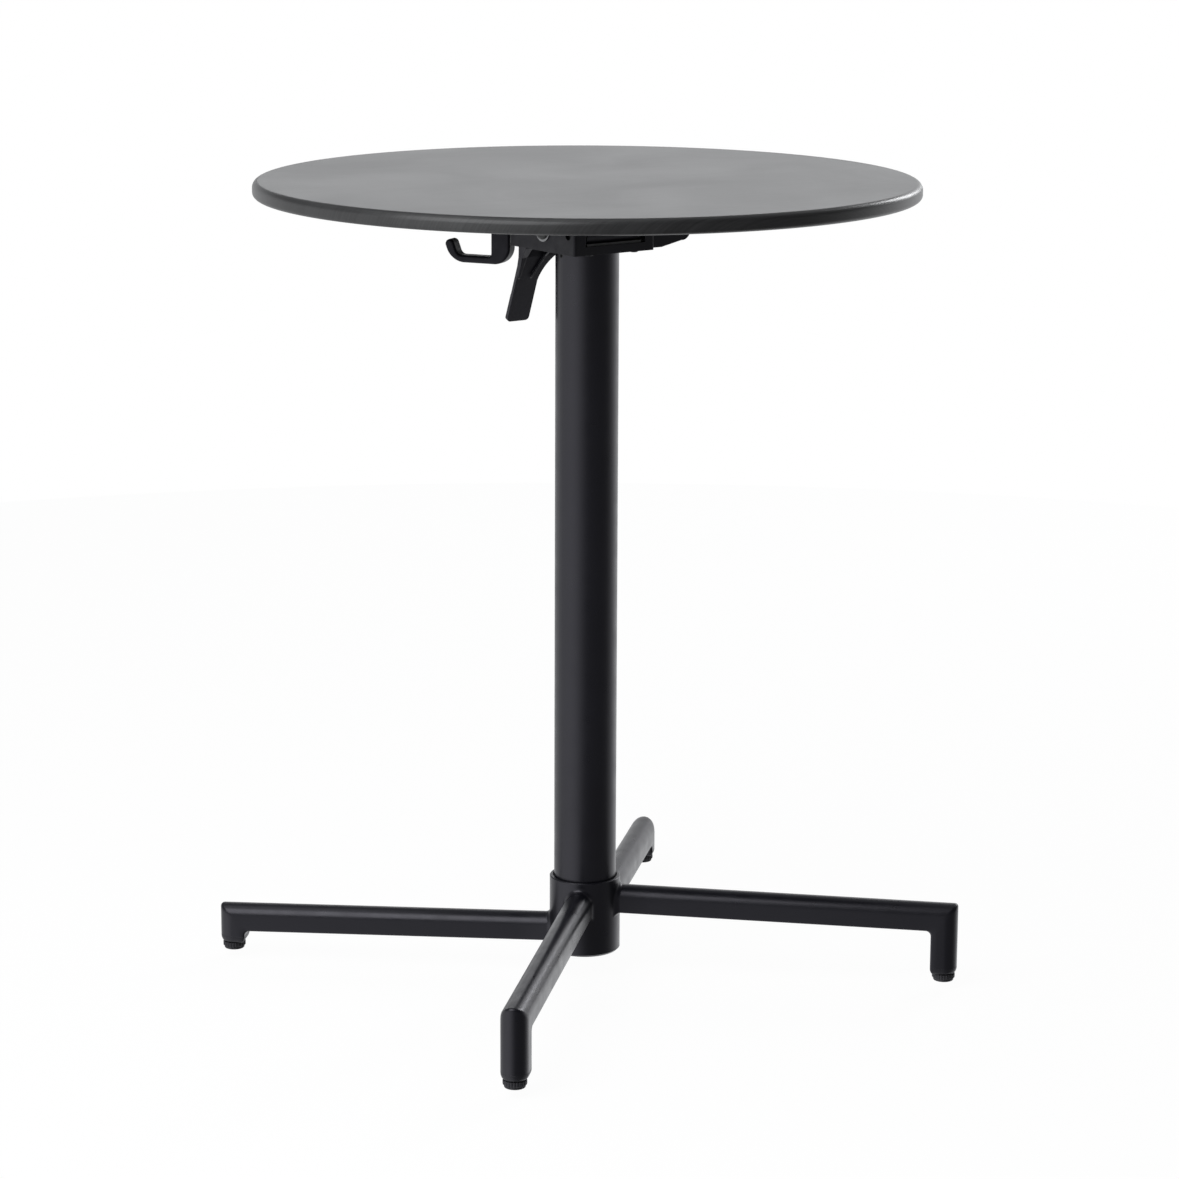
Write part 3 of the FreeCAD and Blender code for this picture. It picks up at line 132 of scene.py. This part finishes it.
def add_softbox(name, azimuth, elevation, distance, width, height, power, target):
    """A rectangular light that faces the column at the height called target."""
    data = bpy.data.lights.new(name, "AREA")
    data.shape = "RECTANGLE"
    data.size = width
    data.size_y = height
    data.energy = power
    data.color = LIGHT_TINT
    light = bpy.data.objects.new(name, data)
    a, e = math.radians(CAMERA_AZIMUTH + azimuth), math.radians(elevation)
    away = Vector((math.sin(a) * math.cos(e), -math.cos(a) * math.cos(e), math.sin(e)))
    light.location = Vector((0, 0, target)) + away * distance
    light.rotation_mode = "QUATERNION"
    light.rotation_quaternion = away.to_track_quat("Z", "Y")
    SCENE.collection.objects.link(light)


def make_world():
    """A soft room whose brightness changes round the table; the camera itself sees plain white."""
    world = bpy.data.worlds.new("studio")
    world.use_nodes = True
    SCENE.world = world
    tree = world.node_tree
    nodes, links = tree.nodes, tree.links
    direction = nodes.new("ShaderNodeTexCoord").outputs["Generated"]
    heading = math.radians(CAMERA_AZIMUTH)

    def along(axis):
        node = nodes.new("ShaderNodeVectorMath")
        node.operation = "DOT_PRODUCT"
        node.inputs[1].default_value = axis
        links.new(direction, node.inputs[0])
        return node.outputs["Value"]

    angle = nodes.new("ShaderNodeMath")
    angle.operation = "ARCTAN2"
    links.new(along((math.cos(heading), math.sin(heading), 0)), angle.inputs[0])
    links.new(along((math.sin(heading), -math.cos(heading), 0)), angle.inputs[1])
    share = nodes.new("ShaderNodeMapRange")
    share.inputs["From Min"].default_value = -math.pi
    share.inputs["From Max"].default_value = math.pi
    links.new(angle.outputs["Value"], share.inputs["Value"])
    ramp = nodes.new("ShaderNodeValToRGB")
    stops = ramp.color_ramp.elements
    while len(stops) < len(ROOM):
        stops.new(0.5)
    brightest = max(level for _, level in ROOM)
    for stop, (degrees, level) in zip(stops, ROOM):
        stop.position = (degrees + 180) / 360
        stop.color = (level / brightest, level / brightest, level / brightest, 1)
    links.new(share.outputs["Result"], ramp.inputs["Fac"])
    dim = nodes.new("ShaderNodeMapRange")
    dim.interpolation_type = "SMOOTHSTEP"
    dim.inputs["From Min"].default_value = ROOM_HORIZON
    dim.inputs["From Max"].default_value = ROOM_DIM
    dim.inputs["To Min"].default_value = brightest
    dim.inputs["To Max"].default_value = brightest * ROOM_DIM_SHARE
    links.new(along((0, 0, 1)), dim.inputs["Value"])
    level = nodes.new("ShaderNodeMath")
    level.operation = "MULTIPLY"
    links.new(ramp.outputs["Color"], level.inputs[0])
    links.new(dim.outputs["Result"], level.inputs[1])
    room = nodes["Background"]
    room.inputs["Color"].default_value = (*LIGHT_TINT, 1)
    links.new(level.outputs["Value"], room.inputs["Strength"])
    seen = nodes.new("ShaderNodeBackground")
    seen.inputs["Color"].default_value = (1, 1, 1, 1)
    seen.inputs["Strength"].default_value = 1.0
    mix = nodes.new("ShaderNodeMixShader")
    links.new(nodes.new("ShaderNodeLightPath").outputs["Is Camera Ray"], mix.inputs["Fac"])
    links.new(room.outputs["Background"], mix.inputs[1])
    links.new(seen.outputs["Background"], mix.inputs[2])
    links.new(mix.outputs["Shader"], nodes["World Output"].inputs["Surface"])


def make_lamps():
    for name, row in SOFTBOXES.items():
        add_softbox(name, *row)
    SCENE.view_settings.view_transform = "Standard"


# ---------------------------------------------------------------- materials

class Shader:
    """A new procedural material and short ways to add nodes to it."""

    def __init__(self, name, roughness, metallic=0.0, specular=0.5, coat=0.0, tint=(1, 1, 1)):
        self.material = bpy.data.materials.new(name)
        self.material.use_nodes = True
        self.tree = self.material.node_tree
        self.surface = self.tree.nodes["Principled BSDF"]
        self.surface.inputs["Roughness"].default_value = roughness
        self.surface.inputs["Metallic"].default_value = metallic
        self.surface.inputs["Specular IOR Level"].default_value = specular
        self.surface.inputs["Coat Weight"].default_value = coat
        self.surface.inputs["Specular Tint"].default_value = (*tint, 1)
        self.place = self.tree.nodes.new("ShaderNodeTexCoord").outputs["Object"]

    def link(self, source, target):
        self.tree.links.new(source, target)

    def stretch(self, scale, source=None):
        mapping = self.tree.nodes.new("ShaderNodeMapping")
        mapping.inputs["Scale"].default_value = scale
        self.link(source or self.place, mapping.inputs["Vector"])
        return mapping.outputs["Vector"]

    def noise(self, scale, detail=3.0, source=None, rough=0.5, distortion=0.0):
        node = self.tree.nodes.new("ShaderNodeTexNoise")
        node.inputs["Scale"].default_value = scale
        node.inputs["Detail"].default_value = detail
        node.inputs["Roughness"].default_value = rough
        node.inputs["Distortion"].default_value = distortion
        self.link(source or self.place, node.inputs["Vector"])
        return node.outputs["Fac"]

    def ramp(self, source, stops):
        node = self.tree.nodes.new("ShaderNodeValToRGB")
        points = node.color_ramp.elements
        while len(points) < len(stops):
            points.new(0.5)
        for point, (place, colour) in zip(points, stops):
            point.position = place
            point.color = (*colour, 1) if len(colour) == 3 else colour
        self.link(source, node.inputs["Fac"])
        return node.outputs["Color"]

    def spread(self, source, low, high, source_low=0.3, source_high=0.7):
        node = self.tree.nodes.new("ShaderNodeMapRange")
        node.inputs["From Min"].default_value = source_low
        node.inputs["From Max"].default_value = source_high
        node.inputs["To Min"].default_value = low
        node.inputs["To Max"].default_value = high
        self.link(source, node.inputs["Value"])
        return node.outputs["Result"]

    def mix_values(self, first, second, operation="ADD"):
        node = self.tree.nodes.new("ShaderNodeMath")
        node.operation = operation
        for socket, value in zip(node.inputs, (first, second)):
            if isinstance(value, (int, float)):
                socket.default_value = value
            else:
                self.link(value, socket)
        return node.outputs["Value"]

    def colour(self, source):
        self.link(source, self.surface.inputs["Base Color"])

    def roughness(self, source):
        self.link(source, self.surface.inputs["Roughness"])

    def soften_edges(self, radius):
        """Shade sharp edges as if they were rounded; it comes before any bump."""
        node = self.tree.nodes.new("ShaderNodeBevel")
        node.samples = 6
        node.inputs["Radius"].default_value = radius
        self.link(node.outputs["Normal"], self.surface.inputs["Normal"])

    def bump(self, source, strength, distance):
        node = self.tree.nodes.new("ShaderNodeBump")
        node.inputs["Strength"].default_value = strength
        node.inputs["Distance"].default_value = distance
        self.link(source, node.inputs["Height"])
        if self.surface.inputs["Normal"].is_linked:
            previous = self.surface.inputs["Normal"].links[0].from_socket
            self.link(previous, node.inputs["Normal"])
        self.link(node.outputs["Normal"], self.surface.inputs["Normal"])


COOL = (0.93, 0.91, 1.0)    # the faint violet that black enamel and nylon reflect


def grey(level, blue=1.0):
    return (level, level, level * blue)


def powder_coat():
    """Fine-texture black powder coat: tiny orange peel and faint changes of gloss."""
    s = Shader("powder_coat", roughness=0.32, specular=0.5, tint=COOL)
    cloud = s.noise(9, 4)
    s.colour(s.ramp(cloud, [(0.3, grey(0.006, 1.5)), (0.7, grey(0.009, 1.45))]))
    s.roughness(s.spread(s.noise(60, 5), 0.27, 0.36))
    s.bump(s.noise(1400, 2), 0.10, 0.0001)
    s.bump(s.noise(260, 2), 0.02, 0.0001)
    return s.material


def cast_black():
    """Painted casting: a coarser skin and slight waviness."""
    s = Shader("cast_black", roughness=0.5, specular=0.34, tint=COOL)
    s.colour(s.ramp(s.noise(30, 5), [(0.3, grey(0.007, 1.2)), (0.7, grey(0.012, 1.2))]))
    s.roughness(s.spread(s.noise(90, 4), 0.42, 0.58))
    s.soften_edges(0.0006)
    s.bump(s.noise(750, 3), 0.5, 0.0002)
    return s.material


def moulded_black(name="moulded_black", specular=0.5):
    """Glass-filled nylon: fine spark-eroded grain."""
    s = Shader(name, roughness=0.45, specular=specular, tint=COOL)
    s.colour(s.ramp(s.noise(22, 4), [(0.35, grey(0.008, 1.35)), (0.65, grey(0.012, 1.3))]))
    s.roughness(s.spread(s.noise(140, 4), 0.38, 0.52))
    s.soften_edges(0.0008)
    s.bump(s.noise(2200, 2), 0.4, 0.0001)
    return s.material


def top_laminate():
    """Anthracite laminate with a brushed decor along the fold pin and a faint cloudy mottle."""
    s = Shader("top_laminate", roughness=0.36, specular=0.5)
    shear = s.tree.nodes.new("ShaderNodeVectorMath")
    shear.operation = "DOT_PRODUCT"
    shear.inputs[1].default_value = (0, 1.0, 0.5)
    s.link(s.place, shear.inputs[0])
    along = s.tree.nodes.new("ShaderNodeVectorMath")
    along.operation = "DOT_PRODUCT"
    along.inputs[1].default_value = (1.0, 0, 0)
    s.link(s.place, along.inputs[0])
    lay = s.tree.nodes.new("ShaderNodeCombineXYZ")
    s.link(along.outputs["Value"], lay.inputs["X"])
    s.link(shear.outputs["Value"], lay.inputs["Y"])
    fine = s.noise(1, 5, s.stretch((14, 900, 1), lay.outputs["Vector"]), 0.6)
    broad = s.noise(1, 4, s.stretch((5, 130, 1), lay.outputs["Vector"]), 0.55)
    cloud = s.noise(7, 6, rough=0.6, distortion=0.6)
    tone = s.mix_values(s.mix_values(fine, 0.45, "MULTIPLY"), s.mix_values(broad, 0.2, "MULTIPLY"))
    tone = s.mix_values(tone, s.mix_values(cloud, 0.35, "MULTIPLY"))
    s.colour(s.ramp(tone, [(0.38, (0.014, 0.014, 0.0145)), (0.62, (0.036, 0.036, 0.037))]))
    s.roughness(s.spread(cloud, 0.33, 0.37))
    s.bump(fine, 0.06, 0.0001)
    return s.material


def zinc_steel():
    s = Shader("zinc_steel", roughness=0.32, metallic=1.0)
    s.colour(s.ramp(s.noise(120, 4), [(0.3, (0.46, 0.47, 0.48)), (0.7, (0.62, 0.63, 0.64))]))
    s.roughness(s.spread(s.noise(1, 4, s.stretch((60, 900, 900))), 0.24, 0.42))
    return s.material


def black_steel():
    s = Shader("black_steel", roughness=0.36, metallic=0.6)
    s.colour(s.ramp(s.noise(300, 4), [(0.3, grey(0.02)), (0.7, grey(0.04))]))
    s.roughness(s.spread(s.noise(500, 3), 0.3, 0.46))
    return s.material


def bright_chrome():
    s = Shader("bright_chrome", roughness=0.1, metallic=1.0)
    # The base colour is kept far darker than chrome's own: painted shade for the shade the washers sit
    # in.
    s.colour(s.ramp(s.noise(200, 3), [(0.3, grey(0.20, 1.02)), (0.7, grey(0.28, 1.02))]))
    s.roughness(s.spread(s.noise(900, 3), 0.16, 0.27))
    return s.material


def brass():
    s = Shader("brass", roughness=0.3, metallic=1.0)
    s.colour(s.ramp(s.noise(200, 3), [(0.3, (0.60, 0.44, 0.20)), (0.7, (0.72, 0.56, 0.29))]))
    s.roughness(s.spread(s.noise(1, 3, s.stretch((200, 200, 4000))), 0.22, 0.42))
    return s.material


def bearing_polymer():
    s = Shader("bearing_polymer", roughness=0.55)
    s.colour(s.ramp(s.noise(150, 4), [(0.3, grey(0.045)), (0.7, grey(0.07))]))
    s.bump(s.noise(1800, 2), 0.3, 0.0001)
    return s.material


def rubber_black():
    s = Shader("rubber_black", roughness=0.55, specular=0.5, tint=COOL)
    s.colour(s.ramp(s.noise(90, 5), [(0.3, grey(0.016, 1.1)), (0.7, grey(0.028, 1.1))]))
    s.roughness(s.spread(s.noise(200, 4), 0.48, 0.66))
    s.bump(s.noise(1500, 3), 0.5, 0.00015)
    return s.material


SLOT_MATERIALS = {
    "powder_black": powder_coat,
    "cast_black": cast_black,
    "moulded_black": moulded_black,
    "top_laminate": top_laminate,
    "zinc_steel": zinc_steel,
    "spring_steel": zinc_steel,
    "black_steel": black_steel,
    "bright_chrome": bright_chrome,
    "brass_insert": brass,
    "bearing_polymer": bearing_polymer,
    "rubber_black": rubber_black,
}


def dress_cad_nodes():
    """Give every CAD node the material of its slot, and the bag hook a darker copy of its slot's
    material as painted shade; return the materials by slot.
    """
    made = {slot: build() for slot, build in SLOT_MATERIALS.items()}
    for row in frame["record"]["subparts"]:
        mesh = NODES[row["node"]].data
        mesh.materials.clear()
        mesh.materials.append(made[row["material_slot"]])
    # The bag hook gets a copy of the moulded black with weaker reflections: painted shade for the
    # shadow the top casts on it.
    NODES["bag_hook"].data.materials[0] = moulded_black("moulded_hook_painted_shade", specular=0.2)
    return made


def mesh_piece(name, build, material, body, replaced=()):
    """Turn a bmesh into a smooth piece of the object that rides on a CAD body."""
    mesh = bpy.data.meshes.new(name)
    build.to_mesh(mesh)
    build.free()
    mesh.polygons.foreach_set("use_smooth", [True] * len(mesh.polygons))
    mesh.materials.append(material)
    piece = bpy.data.objects.new(name, mesh)
    SCENE.collection.objects.link(piece)
    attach(piece, body)
    if replaced:
        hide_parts(*replaced)
    return piece


def corner(centre_r, centre_z, radius, start, end, steps):
    """Points (r, z) along an arc of a lathe profile, angles in degrees from outwards."""
    points = []
    for step in range(steps + 1):
        angle = math.radians(start + (end - start) * step / steps)
        points.append((centre_r + radius * math.cos(angle), centre_z + radius * math.sin(angle)))
    return points


def lathe(profile, sides):
    """Spin a profile of (r, z) points round the Z axis; a point on the axis becomes a pole."""
    build = bmesh.new()
    rings = []
    for radius, z in profile:
        if radius < 1e-6:
            rings.append([build.verts.new((0, 0, z))])
            continue
        turns = [2 * math.pi * side / sides for side in range(sides)]
        rings.append([build.verts.new((radius * math.cos(t), radius * math.sin(t), z)) for t in turns])
    for lower, upper in zip(rings, rings[1:]):
        for side in range(sides):
            after = (side + 1) % sides
            loop = [lower[side % len(lower)], lower[after % len(lower)],
                    upper[after % len(upper)], upper[side % len(upper)]]
            build.faces.new(list(dict.fromkeys(loop)))
    bmesh.ops.recalc_face_normals(build, faces=build.faces)
    return build


def make_tabletop(materials):
    """The laminate top as one smooth lathe, with the same outline as the CAD disc."""
    low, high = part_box("tabletop")
    radius = (high.x - low.x) / 2
    upper, lower = 0.006, 0.004
    flat = radius - upper
    profile = [(0, low.z)]
    profile += [(share * (radius - lower), low.z) for share in (0.25, 0.5, 0.75, 0.95, 0.995)]
    profile += corner(radius - lower, low.z + lower, lower, -90, 0, 10)
    profile += corner(flat, high.z - upper, upper, 0, 90, 14)
    profile += [(share * flat, high.z) for share in (0.995, 0.95, 0.75, 0.5, 0.25)]
    profile += [(0, high.z)]
    mesh_piece("top_disc", lathe(profile, 256), materials["top_laminate"],
               "top", ["tabletop"])


# ---------------------------------------------------------------- legs, caps and glides

COLUMN_TO_POST = 0.3241     # from the column's axis to the post's flat inner face
LEG_HALF_WIDTH = 0.0125
LEG_DEPTH = 0.0246
LEG_SLOPE = math.tan(math.radians(0.9))
LEG_START = 0.02            # where a leg is at its base height, from the column's axis
HUB_RADIUS = 0.0329
WELD = 0.0042               # radius of the flare where a leg meets the hub
LEG_CLEAR = 0.05            # beyond the flare, from the column's axis
CORNER_INSIDE, CORNER_OUTSIDE = 0.005, 0.0028
POST_BOTTOM = 0.014
CAP_STRAIGHT = 0.0004       # how far down a cap keeps the post's outline,
CAP_DROP = 0.0062           # then how deep it goes while it is drawn in
CAP_DRAWN_IN = 0.0034       # by this much
FOOT_RADIUS = 0.3364
FEET = (
    ("high_left", -136.3, 0.0544),
    ("high_right", -43.7, 0.0544),
    ("low_right", 43.7, 0.0245),
    ("low_left", 136.3, 0.0245),
)


def arch(inset=0.0, edge=0.0016):
    """The leg's section as (sideways, height) points: flat below with eased edges, half round above."""
    half = LEG_HALF_WIDTH - inset
    spring = LEG_DEPTH - LEG_HALF_WIDTH
    points = [(half * share, inset) for share in (-0.5, 0.0, 0.5)]
    eased = [(edge * math.sin(math.radians(t)), edge * math.cos(math.radians(t)))
             for t in (0, 22.5, 45, 67.5, 90)]
    points += [(half - edge + out, inset + edge - down) for out, down in eased]
    points += [(half, (inset + spring) / 2)]
    points += [(half * math.cos(math.radians(t)), spring + half * math.sin(math.radians(t)))
               for t in range(0, 181, 9)]
    points += [(-half, (inset + spring) / 2)]
    points += [(-half + edge - out, inset + edge - down) for out, down in reversed(eased)]
    return points


def loft(build, sections, closed_ends=True):
    """Join rings of points, all of one length, into a tube."""
    rings = [[build.verts.new(point) for point in section] for section in sections]
    for lower, upper in zip(rings, rings[1:]):
        for index in range(len(lower)):
            after = (index + 1) % len(lower)
            build.faces.new([lower[index], lower[after], upper[after], upper[index]])
    if closed_ends:
        for ring in (rings[0], rings[-1]):
            build.faces.new(ring)
            for index, vert in enumerate(ring):
                edge = build.edges.get([vert, ring[(index + 1) % len(ring)]])
                edge.smooth = False


def turned(reach, side, z, angle):
    """A point at a reach along a leg and a distance beside it, as the leg points at the angle."""
    turn = math.radians(angle)
    return (reach * math.cos(turn) - side * math.sin(turn),
            reach * math.sin(turn) + side * math.cos(turn), z)


def leg_rings(base, angle):
    """Rings from the weld at the hub, out along the leg, round the bend and down the post."""
    rings = []
    for step in range(7):
        swing = math.radians(90 * (1 - step / 6))
        away, spread = WELD * (1 - math.sin(swing)), WELD * (1 - math.cos(swing))
        ring = []
        for side, height in arch(-spread):
            reach = math.sqrt(HUB_RADIUS ** 2 - side ** 2) + away
            ring.append(turned(reach, side, base + height - (reach - LEG_START) * LEG_SLOPE, angle))
        rings.append(ring)
    bend = math.radians(90) - math.atan(LEG_SLOPE)
    section = arch()
    bends = 9
    for step in range(bends + 5):
        ring = []
        for side, height in section:
            radius = CORNER_INSIDE + (CORNER_OUTSIDE - CORNER_INSIDE) * height / LEG_DEPTH
            post = COLUMN_TO_POST + height
            tangent = radius * math.tan(bend / 2)
            start = post - tangent * math.cos(math.atan(LEG_SLOPE))
            level = base + height - (start - LEG_START) * LEG_SLOPE
            if step < 2:
                reach = LEG_CLEAR + (start - LEG_CLEAR) * (0.05, 0.97)[step]
                ring.append(turned(reach, side, base + height - (reach - LEG_START) * LEG_SLOPE, angle))
                continue
            if step <= bends + 2:
                around = bend * (1 - (step - 2) / bends)
                reach = post - radius + radius * math.cos(around)
                z = level - radius * math.sin(bend) + radius * math.sin(around)
            else:
                reach = post
                z = level - radius * math.sin(bend)
                z += (POST_BOTTOM - z) * (0.1, 1.0)[step - bends - 3]
            ring.append(turned(reach, side, z, angle))
        rings.append(ring)
    return rings


def make_legs(materials):
    for foot, angle, base in FEET:
        build = bmesh.new()
        loft(build, leg_rings(base, angle))
        bmesh.ops.recalc_face_normals(build, faces=build.faces)
        mesh_piece("leg_tube_" + foot, build, materials["powder_black"],
                   "base", ["leg_" + foot])


def make_caps(materials):
    """Plastic ends of the four posts: the post's outline, drawn in below."""
    build = bmesh.new()
    for _, angle, _ in FEET:
        levels = [(POST_BOTTOM, 0.0), (POST_BOTTOM - CAP_STRAIGHT, 0.0)]
        levels += [(POST_BOTTOM - CAP_STRAIGHT - CAP_DROP * math.sin(math.radians(t)),
                    CAP_DRAWN_IN * (1 - math.cos(math.radians(t)))) for t in range(15, 91, 15)]
        rings = [[turned(COLUMN_TO_POST + height, side, z, angle) for side, height in arch(inset)]
                 for z, inset in levels]
        loft(build, rings)
    bmesh.ops.recalc_face_normals(build, faces=build.faces)
    mesh_piece("post_caps", build, materials["moulded_black"], "base", ["foot_end_caps"])


def make_glides(materials):
    """Each glide: a fluted collar and the rubber pad under it, moulded as one."""
    flutes, sides = 24, 192
    flute_depth, fluted_from = 0.00055, 0.0096
    profile = [(0.0, 0.0), (0.0050, 0.0)]
    profile += corner(0.0084, 0.001, 0.001, -90, 0, 4)
    profile += [(0.0094, 0.0022), (0.0097, 0.0026)]
    profile += corner(0.0098, 0.0034, 0.0008, -90, 0, 4)
    profile += [(0.0106, 0.0048)]
    profile += corner(0.0098, 0.0063, 0.0008, 0, 90, 4)
    profile += [(0.0060, 0.0071), (0.0, 0.0071)]
    for foot, angle, _ in FEET:
        build = lathe(profile, sides)
        middle = Vector(turned(FOOT_RADIUS, 0, 0, angle))
        for vert in build.verts:
            reach = math.hypot(vert.co.x, vert.co.y)
            if reach > fluted_from:
                around = math.atan2(vert.co.y, vert.co.x)
                groove = 0.5 + 0.5 * math.cos(flutes * around)
                share = 1 - flute_depth * groove ** 3 / reach
                vert.co.x *= share
                vert.co.y *= share
            vert.co += middle
        mesh_piece("glide_foot_" + foot, build, materials["rubber_black"], "glide_%s_body" % foot,
                   ["glide_" + foot])


make_camera()
make_floor()
make_world()
make_lamps()
MATERIALS = dress_cad_nodes()
make_tabletop(MATERIALS)
make_legs(MATERIALS)
make_caps(MATERIALS)
make_glides(MATERIALS)
